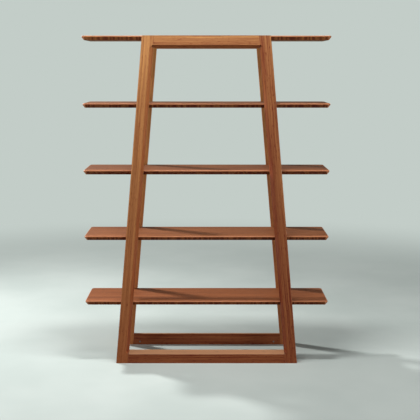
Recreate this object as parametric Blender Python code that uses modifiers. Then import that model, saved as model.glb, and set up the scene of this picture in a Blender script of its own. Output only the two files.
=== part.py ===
"""Open five-shelf ladder bookcase in stained bamboo.

Two trapezoid frames, one in front and one behind, hold five long shelves between them.
Each frame is two splayed legs with a top rail and a bottom rail butted between them.
The inside of each frame has a wide stopped chamfer that turns the corners in a fillet.
Every shelf has a long bevel under its edge and square landings where it meets the legs.
Metres, +Z up, the front faces -Y, and the origin is on the floor under the middle.
"""

from math import atan, cos, pi, radians, sin

import bmesh
import bpy
from mathutils import Matrix, Vector

# ---------------------------------------------------------------- driving dimensions
HEIGHT = 1.829               # floor to the top of the upper shelf
DEPTH = 0.406                # front of the front frame to the back of the rear frame
FOOT_WIDTH = 1.019           # outside of the legs, at the floor
HEAD_WIDTH = 0.701           # outside of the legs, at the top
STOCK_WIDTH = 0.066          # a leg or rail, seen from the front
STOCK_DEPTH = 0.044          # a leg or rail, front to back

SHELF_COUNT = 5
SHELF_LENGTH = 1.370
SHELF_THICKNESS = 0.024
LOWEST_SHELF_TOP = 0.347
SHELF_CORNER = 0.018         # corner radius in plan
SHELF_LIP = 0.008            # upright part of the edge, with the rounded arris
SHELF_ARRIS = 0.005          # radius of the top arris
UNDERCUT_RUN = 0.013         # bevel under the edge, measured inwards
LANDING_WIDTH = 0.054        # square stretch of the edge behind each leg

CHAMFER_RISE = 0.015         # chamfer round the inside of a frame, seen from the front
CHAMFER_DEPTH = 0.030        # the same chamfer, front to back
CHAMFER_FILLET = 0.004       # radius of the chamfer's inner edge at a corner
LEG_ARRIS = 0.004            # rounding of the outer long edges
SOFT_ARRIS = 0.0012          # rounding of the other edges

GAP = 0.0003                 # clearance between pieces that touch

# Frame joints: one bolt into a barrel nut, and one dowel, at each end of each rail.
BOLT_RADIUS = 0.003
BOLT_HEAD_RADIUS = 0.007
BOLT_HEAD_HEIGHT = 0.003
BOLT_SINK = 0.010            # bolt head below the leg's outer side
BOLT_ABOVE_RAIL = 0.017      # bolt axis above the rail's lower edge
BOLT_FROM_INNER_FACE = 0.011
NUT_RADIUS = 0.005
NUT_LENGTH = 0.020
NUT_FROM_JOINT = 0.040
FRAME_DOWEL_RADIUS = 0.005
FRAME_DOWEL_LENGTH = 0.040
FRAME_DOWEL_ABOVE_RAIL = 0.045

# Shelf joints: one dowel where a shelf meets a leg.
SHELF_DOWEL_RADIUS = 0.004
SHELF_DOWEL_LENGTH = 0.036
SHELF_DOWEL_IN_LEG = 0.014

ROUND_STEPS = 12             # sides of a bolt, dowel or bore

# ---------------------------------------------------------------- derived dimensions
SPLAY = atan((FOOT_WIDTH - HEAD_WIDTH) / (2.0 * HEIGHT))
LEG_RUN = STOCK_WIDTH / cos(SPLAY)       # a leg's width, measured level
INNER_FACE = DEPTH / 2.0 - STOCK_DEPTH   # face of a frame that looks at the shelves
SHELF_DEPTH = 2.0 * (INNER_FACE - GAP)
SHELF_PITCH = (HEIGHT - LOWEST_SHELF_TOP) / (SHELF_COUNT - 1)
SHELF_TOPS = [HEIGHT - SHELF_PITCH * number for number in range(SHELF_COUNT)]

SIDES = {"left": -1.0, "right": 1.0}
FRAMES = {"front": -1.0, "rear": 1.0}


def outer_x(z):
    """Half the frame's outer width at a height."""
    return FOOT_WIDTH / 2.0 + (HEAD_WIDTH - FOOT_WIDTH) / 2.0 * z / HEIGHT


def inner_x(z):
    """Half the clear width between the legs at a height."""
    return outer_x(z) - LEG_RUN


# ---------------------------------------------------------------- scene and materials
for stale in list(bpy.data.objects):
    bpy.data.objects.remove(stale, do_unlink=True)

part_collection = bpy.data.collections.new("ladder_shelf")
cutter_collection = bpy.data.collections.new("cutters")
for collection in (part_collection, cutter_collection):
    bpy.context.scene.collection.children.link(collection)


def make_material(name, colour, roughness, metallic=0.0):
    """A plain Principled material."""
    material = bpy.data.materials.new(name)
    material.use_nodes = True
    shader = material.node_tree.nodes["Principled BSDF"]
    shader.inputs["Base Color"].default_value = (*colour, 1.0)
    shader.inputs["Roughness"].default_value = roughness
    shader.inputs["Metallic"].default_value = metallic
    return material


MATERIALS = {
    "leg_wood": make_material("leg_wood", (0.28, 0.115, 0.045), 0.42),
    "rail_wood": make_material("rail_wood", (0.24, 0.095, 0.038), 0.42),
    "shelf_wood": make_material("shelf_wood", (0.32, 0.13, 0.055), 0.38),
    "dowel_wood": make_material("dowel_wood", (0.55, 0.38, 0.20), 0.60),
    "zinc_steel": make_material("zinc_steel", (0.55, 0.55, 0.56), 0.35, 1.0),
}


def add_object(name, mesh_data, material_name, placement=None):
    """Put a mesh in the bookcase's collection, under its own name and material."""
    item = bpy.data.objects.new(name, mesh_data)
    part_collection.objects.link(item)
    if not mesh_data.materials:
        mesh_data.materials.append(MATERIALS[material_name])
    if placement:
        item.matrix_world = placement
    return item


def add_cutter(name, mesh_data):
    """A helper that shapes other pieces and is never part of the bookcase."""
    item = bpy.data.objects.new(name, mesh_data)
    cutter_collection.objects.link(item)
    item.hide_render = True
    item.display_type = "WIRE"
    return item


def mesh_from(bm, name):
    """Turn a bmesh into a mesh whose faces point outwards."""
    bmesh.ops.recalc_face_normals(bm, faces=bm.faces[:])
    data = bpy.data.meshes.new(name)
    bm.to_mesh(data)
    bm.free()
    return data


def boolean(item, helper, operation="DIFFERENCE"):
    """Cut or join one object with a helper."""
    modifier = item.modifiers.new(helper.name, "BOOLEAN")
    modifier.operation = operation
    modifier.solver = "EXACT"
    modifier.object = helper


def soften(item, width, segments=2):
    """Round every edge that turns by more than forty degrees."""
    modifier = item.modifiers.new("arris", "BEVEL")
    modifier.width = width
    modifier.segments = segments
    modifier.limit_method = "ANGLE"
    modifier.angle_limit = radians(40.0)


# ---------------------------------------------------------------- turned pieces
def turned_mesh(name, profile):
    """Revolve a (radius, height) profile, listed top to bottom, about the Z axis."""
    line = bpy.data.meshes.new(name + "_profile")
    points = [(radius, 0.0, height) for radius, height in profile]
    line.from_pydata(points, [(i, i + 1) for i in range(len(points) - 1)], [])
    spinner = bpy.data.objects.new(name + "_spinner", line)
    part_collection.objects.link(spinner)
    screw = spinner.modifiers.new("turn", "SCREW")
    screw.steps = ROUND_STEPS
    screw.render_steps = ROUND_STEPS
    screw.use_merge_vertices = True
    screw.merge_threshold = 0.00001
    graph = bpy.context.evaluated_depsgraph_get()
    turned = bpy.data.meshes.new_from_object(spinner.evaluated_get(graph))
    bpy.data.objects.remove(spinner, do_unlink=True)
    bpy.data.meshes.remove(line)
    turned.name = name
    turned.shade_smooth()
    turned.set_sharp_from_angle(angle=radians(35.0))
    return turned


def cylinder_profile(radius, length):
    """The profile of a plain cylinder, centred on its origin."""
    half = length / 2.0
    return [(0.0, half), (radius, half), (radius, -half), (0.0, -half)]


def bore_cutter(name, profile, placements):
    """One cutter that holds a turned solid at every placement."""
    template = turned_mesh(name + "_template", profile)
    bm = bmesh.new()
    for placement in placements:
        first_new = len(bm.verts)
        bm.from_mesh(template)
        bm.verts.ensure_lookup_table()
        bmesh.ops.transform(bm, matrix=placement, verts=bm.verts[first_new:])
    bpy.data.meshes.remove(template)
    return add_cutter(name, mesh_from(bm, name))


def aim(direction, position):
    """A placement that turns +Z to a direction and moves the origin to a position."""
    turn = Vector((0.0, 0.0, 1.0)).rotation_difference(Vector(direction))
    return Matrix.Translation(Vector(position)) @ turn.to_matrix().to_4x4()


# ---------------------------------------------------------------- frame chamfer
def opening_outline(offset, arc_steps=5):
    """The frame's opening in the XZ plane, grown by an offset, with rounded corners."""
    radius = CHAMFER_FILLET + offset
    low = STOCK_WIDTH + CHAMFER_FILLET
    high = HEIGHT - low
    points = []
    corners = [
        (1.0, low, -0.5 * pi, SPLAY),
        (1.0, high, SPLAY, 0.5 * pi),
        (-1.0, high, 0.5 * pi, pi - SPLAY),
        (-1.0, low, pi - SPLAY, 1.5 * pi),
    ]
    for side, z, start, end in corners:
        centre_x = side * (inner_x(z) - CHAMFER_FILLET / cos(SPLAY))
        for step in range(arc_steps + 1):
            angle = start + (end - start) * step / arc_steps
            points.append((centre_x + radius * cos(angle), z + radius * sin(angle)))
    return points


def make_chamfer_cutter(name, frame_side):
    """A loft from the wide outline in front of the frame to the opening itself."""
    past_face = 0.002
    slope = CHAMFER_RISE / CHAMFER_DEPTH
    outer_face = frame_side * DEPTH / 2.0
    stations = [
        (outer_face + frame_side * past_face, CHAMFER_RISE + slope * past_face),
        (outer_face - frame_side * CHAMFER_DEPTH, 0.0),
    ]
    bm = bmesh.new()
    rings = []
    for y, offset in stations:
        rings.append([bm.verts.new((x, y, z)) for x, z in opening_outline(offset)])
    count = len(rings[0])
    for i in range(count):
        j = (i + 1) % count
        bm.faces.new((rings[0][i], rings[0][j], rings[1][j], rings[1][i]))
    for ring in rings:
        bm.faces.new(ring)
    return add_cutter(name, mesh_from(bm, name))


chamfer_cutters = {
    name: make_chamfer_cutter(name + "_chamfer", side) for name, side in FRAMES.items()
}


# ---------------------------------------------------------------- frame fasteners
RAIL_LOWS = {"top": HEIGHT - STOCK_WIDTH, "bottom": 0.0}
BOLT_SEAT_TO_NUT = STOCK_WIDTH - BOLT_SINK - BOLT_HEAD_HEIGHT + NUT_FROM_JOINT
BOLT_LENGTH = BOLT_SEAT_TO_NUT + 1.6 * NUT_RADIUS


def frame_joints():
    """Name, side, frame side and rail height of the eight joints of the two frames."""
    for frame_name, frame_side in FRAMES.items():
        for rail_name, low in RAIL_LOWS.items():
            for side_name, side in SIDES.items():
                yield f"{frame_name}_{rail_name}_{side_name}", side, frame_side, low


def bolt_placement(side, frame_side, low):
    """The bolt head's seat, aimed out of the leg."""
    z = low + BOLT_ABOVE_RAIL
    x = side * (inner_x(z) - NUT_FROM_JOINT + BOLT_SEAT_TO_NUT)
    return aim((side, 0.0, 0.0), (x, frame_side * (INNER_FACE + BOLT_FROM_INNER_FACE), z))


def nut_placement(side, frame_side, low):
    """The barrel nut's centre, with the nut lying front to back."""
    z = low + BOLT_ABOVE_RAIL
    x = side * (inner_x(z) - NUT_FROM_JOINT)
    y = frame_side * (INNER_FACE + BOLT_FROM_INNER_FACE)
    return aim((0.0, frame_side, 0.0), (x, y, z))


def frame_dowel_placement(side, frame_side, low):
    """The dowel's centre, on the joint between a leg and a rail."""
    z = low + FRAME_DOWEL_ABOVE_RAIL
    y = frame_side * (INNER_FACE + STOCK_DEPTH / 2.0)
    return aim((side, 0.0, 0.0), (side * inner_x(z), y, z))


def at_frame_joints(placement):
    """One placement for each of the eight joints."""
    return [placement(*joint[1:]) for joint in frame_joints()]


bolt_profile = [
    (0.0, BOLT_HEAD_HEIGHT),
    (BOLT_HEAD_RADIUS - 0.001, BOLT_HEAD_HEIGHT),
    (BOLT_HEAD_RADIUS, BOLT_HEAD_HEIGHT - 0.001),
    (BOLT_HEAD_RADIUS, 0.0),
    (BOLT_RADIUS, 0.0),
    (BOLT_RADIUS, -BOLT_LENGTH),
    (0.0, -BOLT_LENGTH),
]
bolt_bore_profile = [
    (0.0, BOLT_SINK + 0.020),
    (BOLT_HEAD_RADIUS + GAP, BOLT_SINK + 0.020),
    (BOLT_HEAD_RADIUS + GAP, -GAP),
    (BOLT_RADIUS + GAP, -GAP),
    (BOLT_RADIUS + GAP, -BOLT_LENGTH - GAP),
    (0.0, -BOLT_LENGTH - GAP),
]
nut_bore_profile = [
    (0.0, NUT_LENGTH / 2.0 + GAP),
    (NUT_RADIUS + GAP, NUT_LENGTH / 2.0 + GAP),
    (NUT_RADIUS + GAP, -NUT_LENGTH / 2.0 - 0.010),
    (0.0, -NUT_LENGTH / 2.0 - 0.010),
]
bolt_bores = bore_cutter("frame_bolt_bores", bolt_bore_profile, at_frame_joints(bolt_placement))
nut_bores = bore_cutter("barrel_nut_bores", nut_bore_profile, at_frame_joints(nut_placement))
frame_dowel_bores = bore_cutter(
    "frame_dowel_bores",
    cylinder_profile(FRAME_DOWEL_RADIUS + GAP, FRAME_DOWEL_LENGTH + 2.0 * GAP),
    at_frame_joints(frame_dowel_placement),
)

bolt_mesh = turned_mesh("frame_bolt", bolt_profile)
nut_mesh = turned_mesh("barrel_nut", cylinder_profile(NUT_RADIUS, NUT_LENGTH))
frame_dowel_mesh = turned_mesh(
    "frame_dowel", cylinder_profile(FRAME_DOWEL_RADIUS, FRAME_DOWEL_LENGTH)
)
for joint_name, side, frame_side, low in frame_joints():
    place = (side, frame_side, low)
    add_object(f"{joint_name}_bolt", bolt_mesh, "zinc_steel", bolt_placement(*place))
    nut = add_object(
        f"{joint_name}_barrel_nut", nut_mesh, "zinc_steel", nut_placement(*place)
    )
    boolean(nut, bolt_bores)
    add_object(
        f"{joint_name}_dowel", frame_dowel_mesh, "dowel_wood", frame_dowel_placement(*place)
    )


# ---------------------------------------------------------------- shelf dowels
def shelf_dowels():
    """Name and placement of the dowel where each shelf meets each leg."""
    centre_y = INNER_FACE + SHELF_DOWEL_IN_LEG - SHELF_DOWEL_LENGTH / 2.0
    for number, top in enumerate(SHELF_TOPS, start=1):
        z = top - SHELF_THICKNESS / 2.0
        x = outer_x(z) - LEG_RUN / 2.0
        for frame_name, frame_side in FRAMES.items():
            for side_name, side in SIDES.items():
                spot = (side * x, frame_side * centre_y, z)
                name = f"shelf_{number}_{frame_name}_{side_name}_dowel"
                yield name, aim((0.0, frame_side, 0.0), spot)


shelf_dowel_bores = bore_cutter(
    "shelf_dowel_bores",
    cylinder_profile(SHELF_DOWEL_RADIUS + GAP, SHELF_DOWEL_LENGTH + 2.0 * GAP),
    [placement for _name, placement in shelf_dowels()],
)
shelf_dowel_mesh = turned_mesh(
    "shelf_dowel", cylinder_profile(SHELF_DOWEL_RADIUS, SHELF_DOWEL_LENGTH)
)
for dowel_name, placement in shelf_dowels():
    add_object(dowel_name, shelf_dowel_mesh, "dowel_wood", placement)


# ---------------------------------------------------------------- legs and rails
def stock_mesh(name, outline, frame_side):
    """A flat outline in the XZ plane, extruded through the thickness of a frame."""
    face_a = frame_side * INNER_FACE
    face_b = frame_side * DEPTH / 2.0
    bm = bmesh.new()
    sheet = bm.faces.new([bm.verts.new((x, face_a, z)) for x, z in outline])
    grown = bmesh.ops.extrude_face_region(bm, geom=[sheet])
    new_verts = [item for item in grown["geom"] if isinstance(item, bmesh.types.BMVert)]
    bmesh.ops.translate(bm, vec=(0.0, face_b - face_a, 0.0), verts=new_verts)
    return mesh_from(bm, name)


def round_outer_edges(item, side):
    """Round the two long edges on the leg's outer side and its upper outer edge."""
    bm = bmesh.new()
    bm.from_mesh(item.data)
    chosen = []
    for edge in bm.edges:
        ends = [vert.co for vert in edge.verts]
        on_outer_side = all(abs(co.x * side - outer_x(co.z)) < 0.0001 for co in ends)
        at_floor = all(co.z < 0.0001 for co in ends)
        if on_outer_side and not at_floor:
            chosen.append(edge)
    bmesh.ops.bevel(
        bm, geom=chosen, offset=LEG_ARRIS, segments=3, profile=0.5, affect="EDGES"
    )
    bm.to_mesh(item.data)
    bm.free()


def make_leg(name, side, frame_side):
    """A splayed leg, cut level at the floor and at the top."""
    outline = [
        (side * outer_x(0.0), 0.0),
        (side * outer_x(HEIGHT), HEIGHT),
        (side * inner_x(HEIGHT), HEIGHT),
        (side * inner_x(0.0), 0.0),
    ]
    leg = add_object(name, stock_mesh(name, outline, frame_side), "leg_wood")
    round_outer_edges(leg, side)
    return leg


def make_rail(name, low, frame_side):
    """A level rail, its ends cut to the slope of the legs."""
    high = low + STOCK_WIDTH
    outline = [
        (-inner_x(low) + GAP, low),
        (inner_x(low) - GAP, low),
        (inner_x(high) - GAP, high),
        (-inner_x(high) + GAP, high),
    ]
    return add_object(name, stock_mesh(name, outline, frame_side), "rail_wood")


for frame_name, frame_side in FRAMES.items():
    for side_name, side in SIDES.items():
        leg = make_leg(f"{frame_name}_{side_name}_leg", side, frame_side)
        boolean(leg, chamfer_cutters[frame_name])
        soften(leg, SOFT_ARRIS)
        for bores in (bolt_bores, frame_dowel_bores, shelf_dowel_bores):
            boolean(leg, bores)
    for rail_name, low in RAIL_LOWS.items():
        rail = make_rail(f"{frame_name}_{rail_name}_rail", low, frame_side)
        boolean(rail, chamfer_cutters[frame_name])
        soften(rail, SOFT_ARRIS)
        for bores in (bolt_bores, nut_bores, frame_dowel_bores):
            boolean(rail, bores)


# ---------------------------------------------------------------- shelves
def shelf_mesh(name):
    """A board with round corners, a round top arris and a long bevel underneath."""
    bm = bmesh.new()
    size = Matrix.Diagonal((SHELF_LENGTH, SHELF_DEPTH, SHELF_LIP, 1.0))
    bmesh.ops.create_cube(bm, size=1.0, matrix=Matrix.Translation((0, 0, -SHELF_LIP / 2)) @ size)
    upright = [e for e in bm.edges if abs(e.verts[0].co.z - e.verts[1].co.z) > SHELF_LIP / 2]
    bmesh.ops.bevel(
        bm, geom=upright, offset=SHELF_CORNER, segments=6, profile=0.5, affect="EDGES"
    )
    bm.normal_update()
    underside = [face for face in bm.faces if face.normal.z < -0.9]
    bmesh.ops.inset_region(
        bm, faces=underside, thickness=UNDERCUT_RUN, depth=SHELF_THICKNESS - SHELF_LIP
    )
    bm.normal_update()
    top = [face for face in bm.faces if face.normal.z > 0.9][0]
    bmesh.ops.bevel(
        bm, geom=top.edges[:], offset=SHELF_ARRIS, segments=3, profile=0.5, affect="EDGES"
    )
    return mesh_from(bm, name)


def landing_mesh(name, height_of_top):
    """Four blocks that carry the square edge of the shelf out to the legs."""
    skin = 0.0002
    low = height_of_top - SHELF_THICKNESS + skin
    high = height_of_top - SHELF_LIP + 0.002
    outer = INNER_FACE - GAP - skin
    inner = outer - UNDERCUT_RUN - 0.006
    middle_z = height_of_top - SHELF_THICKNESS / 2.0
    centre = outer_x(middle_z) - LEG_RUN / 2.0
    size = Matrix.Diagonal((LANDING_WIDTH, outer - inner, high - low, 1.0))
    bm = bmesh.new()
    for frame_side in FRAMES.values():
        for side in SIDES.values():
            spot = (side * centre, frame_side * (outer + inner) / 2.0, (low + high) / 2.0)
            bmesh.ops.create_cube(bm, size=1.0, matrix=Matrix.Translation(spot) @ size)
    return mesh_from(bm, name)


for number, top_z in enumerate(SHELF_TOPS, start=1):
    shelf_name = f"shelf_{number}"
    shelf = add_object(shelf_name, shelf_mesh(shelf_name), "shelf_wood")
    shelf.location.z = top_z
    landings = add_cutter(f"{shelf_name}_landings", landing_mesh(f"{shelf_name}_landings", top_z))
    boolean(shelf, landings, "UNION")
    boolean(shelf, shelf_dowel_bores)
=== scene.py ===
# %% [markdown]
# # A five-shelf ladder bookcase in stained bamboo
#
# The bookcase is two trapezoid frames, one in front and one behind, with five long shelves
# held between them. The solids are already measured, so this lesson loads them and then
# makes every board again with rounder arrises, real grain and a satin stain.
#
# The work goes in the order of a workshop: read the sizes, make the tools, mix the finishes,
# cut the boards, fit the hardware, and last set up the camera and the lamps.
# Lengths are in metres, +Z is up, and the front faces -Y.

from math import atan, cos, pi, radians, sin, tan

import bmesh
import bpy
from mathutils import Matrix, Vector


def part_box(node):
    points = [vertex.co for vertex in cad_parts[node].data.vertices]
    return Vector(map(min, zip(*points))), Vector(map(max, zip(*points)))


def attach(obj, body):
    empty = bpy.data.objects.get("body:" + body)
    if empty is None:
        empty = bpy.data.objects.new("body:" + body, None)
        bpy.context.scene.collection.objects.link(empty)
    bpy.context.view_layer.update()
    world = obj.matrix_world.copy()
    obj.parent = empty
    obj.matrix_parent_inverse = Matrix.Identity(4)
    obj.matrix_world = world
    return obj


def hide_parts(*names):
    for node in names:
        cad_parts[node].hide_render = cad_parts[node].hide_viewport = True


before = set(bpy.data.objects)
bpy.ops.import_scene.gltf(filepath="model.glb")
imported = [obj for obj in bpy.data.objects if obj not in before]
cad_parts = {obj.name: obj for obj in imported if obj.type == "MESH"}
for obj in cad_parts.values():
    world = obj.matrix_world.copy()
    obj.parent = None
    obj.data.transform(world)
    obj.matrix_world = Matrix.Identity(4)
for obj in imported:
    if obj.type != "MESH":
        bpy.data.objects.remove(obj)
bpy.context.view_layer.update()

# %% [markdown]
# ## Reading the sizes
#
# A joiner measures the carcass before cutting anything for it. Every size here comes from
# the box round a solid, so the new boards land exactly where the old ones were.
# A leg leans inwards, and its slope follows from where its inner side meets the bottom rail
# and where it reaches the top.

# %% Measure the frames
GAP = 0.0003  # clearance between boards that touch
leg_low, leg_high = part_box("front_left_leg")
top_rail_low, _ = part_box("front_top_rail")
_, bottom_rail_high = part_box("front_bottom_rail")

HEIGHT = leg_high.z
OUTER_FACE = -leg_low.y                      # outer face of a frame, from the middle
INNER_FACE = -leg_high.y                     # face of a frame that looks at the shelves
STOCK_DEPTH = OUTER_FACE - INNER_FACE
STOCK_WIDTH = HEIGHT - top_rail_low.z
FOOT_INNER = bottom_rail_high.x + GAP        # inner side of a leg at the floor
HEAD_INNER = -leg_high.x                     # and at the top
SPLAY = atan((FOOT_INNER - HEAD_INNER) / HEIGHT)
LEG_RUN = STOCK_WIDTH / cos(SPLAY)           # a leg's width, measured level


def inner_x(z):
    """Half the clear width between the legs at a height."""
    return FOOT_INNER - z * tan(SPLAY)


def outer_x(z):
    """Half the frame's outer width at a height."""
    return inner_x(z) + LEG_RUN


print(f"stock {STOCK_WIDTH:.4f} by {STOCK_DEPTH:.4f}, splay {SPLAY / pi * 180:.2f} degrees")

# %% Measure the shelves
SHELF_COUNT = 5
shelf_boxes = [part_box(f"shelf_{number}") for number in range(1, SHELF_COUNT + 1)]
SHELF_TOPS = [high.z for _low, high in shelf_boxes]
SHELF_LENGTH = shelf_boxes[0][1].x - shelf_boxes[0][0].x
SHELF_DEPTH = shelf_boxes[0][1].y - shelf_boxes[0][0].y
SHELF_THICKNESS = shelf_boxes[0][1].z - shelf_boxes[0][0].z
print(f"shelves {SHELF_LENGTH:.3f} by {SHELF_DEPTH:.4f} by {SHELF_THICKNESS:.3f}")

# %% [markdown]
# ## Tools for boards
#
# A board could be modelled in place, leaning as the leg leans. It is easier to make it flat
# on the bench, with X along the grain, Y across it and Z through it, and to turn the whole
# object afterwards. The grain of every finish can then follow the object's own X axis, and
# it stays true however the board is turned.

# %% Bench tools: meshes
SIDES = {"left": -1.0, "right": 1.0}
FRAMES = {"front": -1.0, "rear": 1.0}


def mesh_from(bm, name):
    """Turn a bmesh into a mesh whose faces point outwards."""
    bmesh.ops.recalc_face_normals(bm, faces=bm.faces[:])
    mesh = bpy.data.meshes.new(name)
    bm.to_mesh(mesh)
    bm.free()
    return mesh


def add_block(bm, centre, size):
    """Add a box of a size round a centre."""
    placement = Matrix.Translation(centre) @ Matrix.Diagonal((*size, 1.0))
    bmesh.ops.create_cube(bm, size=1.0, matrix=placement)


def lay_on_bench(name, mesh, placement=None):
    """Put a mesh in the scene as a new object."""
    item = bpy.data.objects.new(name, mesh)
    bpy.context.scene.collection.objects.link(item)
    item.matrix_world = placement or Matrix.Identity(4)
    return item


def settle(item):
    """Swap an object's mesh for the result of its modifiers."""
    graph = bpy.context.evaluated_depsgraph_get()
    item.data = bpy.data.meshes.new_from_object(item.evaluated_get(graph))
    item.modifiers.clear()


def frame_axes(along, across, origin):
    """A placement from a board's grain direction, its width direction and its origin."""
    through = along.cross(across)
    turn = Matrix((along, across, through)).transposed()
    return Matrix.Translation(origin) @ turn.to_4x4()


# %% Bench tools: saw, plane and drill
def cut(item, cutter, operation="DIFFERENCE"):
    """Cut or join one object with another."""
    step = item.modifiers.new(cutter.name, "BOOLEAN")
    step.operation = operation
    step.solver = "EXACT"
    step.object = cutter


def ease(item, width, segments=3, sharper_than=40.0):
    """Round every edge that turns by more than an angle."""
    step = item.modifiers.new("ease", "BEVEL")
    step.width = width
    step.segments = segments
    step.limit_method = "ANGLE"
    step.angle_limit = radians(sharper_than)


def polish(item, sharper_than=35.0):
    """Shade curves smoothly while large faces stay flat."""
    item.data.shade_smooth()
    item.data.set_sharp_from_angle(angle=radians(sharper_than))
    step = item.modifiers.new("flat faces stay flat", "WEIGHTED_NORMAL")
    step.keep_sharp = True
    step.weight = 90  # of 100, in favour of large faces
    settle(item)


# %% [markdown]
# ## What a finish needs to know about a board
#
# Bamboo boards are glued from thin strips, and no two are alike. A finish that is shared by
# all boards can still tell them apart if each mesh carries a few numbers of its own. They
# are stored as mesh attributes, which a material reads with an Attribute node: which board
# it is, how light it is, how high each point stands, where the arrises are, and which way
# each face looks. A painted image could hold the same facts, but it would need an unwrapped
# mesh and a file.

# %% Store the facts on the mesh
NARROW = 0.0026              # faces slimmer than this belong to a rounded edge
ALMOST_FLAT = 0.02           # an edge that turns by less, in radians, is no hollow


def arris_weights(mesh):
    """One for each vertex inside a convex rounding, zero elsewhere."""
    bm = bmesh.new()
    bm.from_mesh(mesh)
    widths = {
        face: face.calc_area() / max(edge.calc_length() for edge in face.edges)
        for face in bm.faces
    }
    weights = []
    for vert in bm.verts:
        slim = all(widths[face] < NARROW for face in vert.link_faces)
        convex = all(
            edge.is_convex or edge.calc_face_angle(0.0) < ALMOST_FLAT for edge in vert.link_edges
        )
        weights.append(float(slim and convex))
    bm.free()
    return weights


def write_facts(item, board, tone):
    """Store the board's number, tone and arrises, its height and the way its faces look."""
    mesh = item.data
    placement = item.matrix_world
    count = len(mesh.vertices)
    facts = {
        "board": [float(board)] * count,
        "tone": [tone] * count,
        "arris": arris_weights(mesh),
        "height": [(placement @ vert.co).z / HEIGHT for vert in mesh.vertices],
    }
    for name, values in facts.items():
        mesh.attributes.new(name, "FLOAT", "POINT").data.foreach_set("value", values)
    normals = [abs(part) for polygon in mesh.polygons for part in polygon.normal]
    facing = mesh.attributes.new("facing", "FLOAT_VECTOR", "FACE")
    facing.data.foreach_set("vector", normals)
    upward = [(placement.to_3x3() @ polygon.normal).z for polygon in mesh.polygons]
    mesh.attributes.new("upward", "FLOAT", "FACE").data.foreach_set("value", upward)


def fit(item, node, finish):
    """Stand a finished piece in for its solid and give it its finish."""
    item.data.materials.clear()
    item.data.materials.append(finish)
    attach(item, "root")
    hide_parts(node)


print("bench ready")

# %% [markdown]
# ## Mixing finishes
#
# A finish is a node tree. Adding its nodes by hand takes many lines, so a small class keeps
# the tree and offers short ways to add a node, do sums and mix colours. Whatever is passed
# in may be a number or the output of another node.

# %% A short way to write node trees
class Finish:
    """A material, or a world, and short ways to add nodes to it."""

    def __init__(self, name, owner=None):
        self.material = owner or bpy.data.materials.new(name)
        self.material.use_nodes = True
        self.tree = self.material.node_tree
        self.shader = self.tree.nodes.get("Principled BSDF")

    def feed(self, socket, value):
        """Link an output to a socket, or set the socket to a number."""
        if isinstance(value, bpy.types.NodeSocket):
            self.tree.links.new(value, socket)
        else:
            socket.default_value = value

    def node(self, kind, inputs=None, **settings):
        """Add a node, with its settings and the values of its sockets."""
        made = self.tree.nodes.new(kind)
        for key, value in settings.items():
            setattr(made, key, value)
        for key, value in (inputs or {}).items():
            self.feed(made.inputs[key], value)
        return made

    def sum(self, operation, *values):
        """One Math node."""
        sockets = dict(enumerate(values))
        return self.node("ShaderNodeMath", sockets, operation=operation).outputs[0]

    def fact(self, name, output="Fac"):
        """A number or a vector that the mesh carries."""
        return self.node("ShaderNodeAttribute", attribute_name=name).outputs[output]

    def vector(self, x, y, z):
        """Three numbers as one vector."""
        return self.node("ShaderNodeCombineXYZ", {"X": x, "Y": y, "Z": z}).outputs[0]

    def ramp(self, value, low, high, out_low=0.0, out_high=1.0, smooth=True):
        """Map a range onto another, held at its ends."""
        kind = "SMOOTHSTEP" if smooth else "LINEAR"
        sockets = dict(enumerate((value, low, high, out_low, out_high)))
        return self.node("ShaderNodeMapRange", sockets, interpolation_type=kind).outputs[0]

    def blend(self, amount, first, second):
        """Mix two numbers."""
        sockets = {0: amount, 2: first, 3: second}
        return self.node("ShaderNodeMix", sockets, data_type="FLOAT").outputs[0]

    def tint(self, amount, first, second, kind="MIX"):
        """Mix two colours."""
        sockets = {0: amount, 6: first, 7: second}
        return self.node("ShaderNodeMix", sockets, data_type="RGBA", blend_type=kind).outputs[2]

    def noise(self, vector, detail=2.0, scale=1.0):
        """Smooth noise, about 0.5 on average, with a number of cells in each unit."""
        sockets = {"Vector": vector, "Scale": scale, "Detail": detail}
        return self.node("ShaderNodeTexNoise", sockets).outputs["Fac"]

    def place(self):
        """The place inside the object, as one vector and as its three numbers."""
        place = self.node("ShaderNodeTexCoord").outputs["Object"]
        return place, self.node("ShaderNodeSeparateXYZ", {"Vector": place}).outputs

    def surface(self, colour, roughness, relief, strength, depth):
        """Give the shader its colour, its roughness and a bump, and hand over the material."""
        sizes = {"Height": relief, "Strength": strength, "Distance": depth}
        bump = self.node("ShaderNodeBump", sizes).outputs[0]
        sockets = {"Base Color": colour, "Roughness": roughness, "Normal": bump}
        for key, value in sockets.items():
            self.feed(self.shader.inputs[key], value)
        return self.material

    def choose(self, amount, first, second, output):
        """Mix two shaders, send the result to an output, and give back what it dresses."""
        sockets = {0: amount, 1: first.outputs[0], 2: second.outputs[0]}
        made = self.node("ShaderNodeMixShader", sockets)
        self.feed(self.tree.nodes[output].inputs["Surface"], made.outputs[0])
        return self.material

    def random(self, vector):
        """Random numbers for each whole-numbered vector."""
        return self.node("ShaderNodeTexWhiteNoise", {"Vector": vector}, noise_dimensions="3D")


def srgb(code):
    """A colour from its screen code, as the four linear numbers that a node takes."""
    parts = [int(code[i:i + 2], 16) / 255.0 for i in (0, 2, 4)]
    return [p / 12.92 if p < 0.04045 else ((p + 0.055) / 1.055) ** 2.4 for p in parts] + [1.0]


# %% [markdown]
# ## Stained bamboo
#
# Bamboo lumber is thin strips glued side by side. A strip has its own tone, long straight
# fibres with short dark flecks among them, and a dark node every twenty to thirty
# centimetres where the cane had a ring.
#
# One way is an image of wood on each face. Here the finish is solid instead: it is worked
# out from the place inside the board, so strips run round every edge, and a sawn end shows
# the ends of the same strips. Rounding a place down to whole strips gives each strip a
# number, and White Noise turns that number into its tone.

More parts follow.
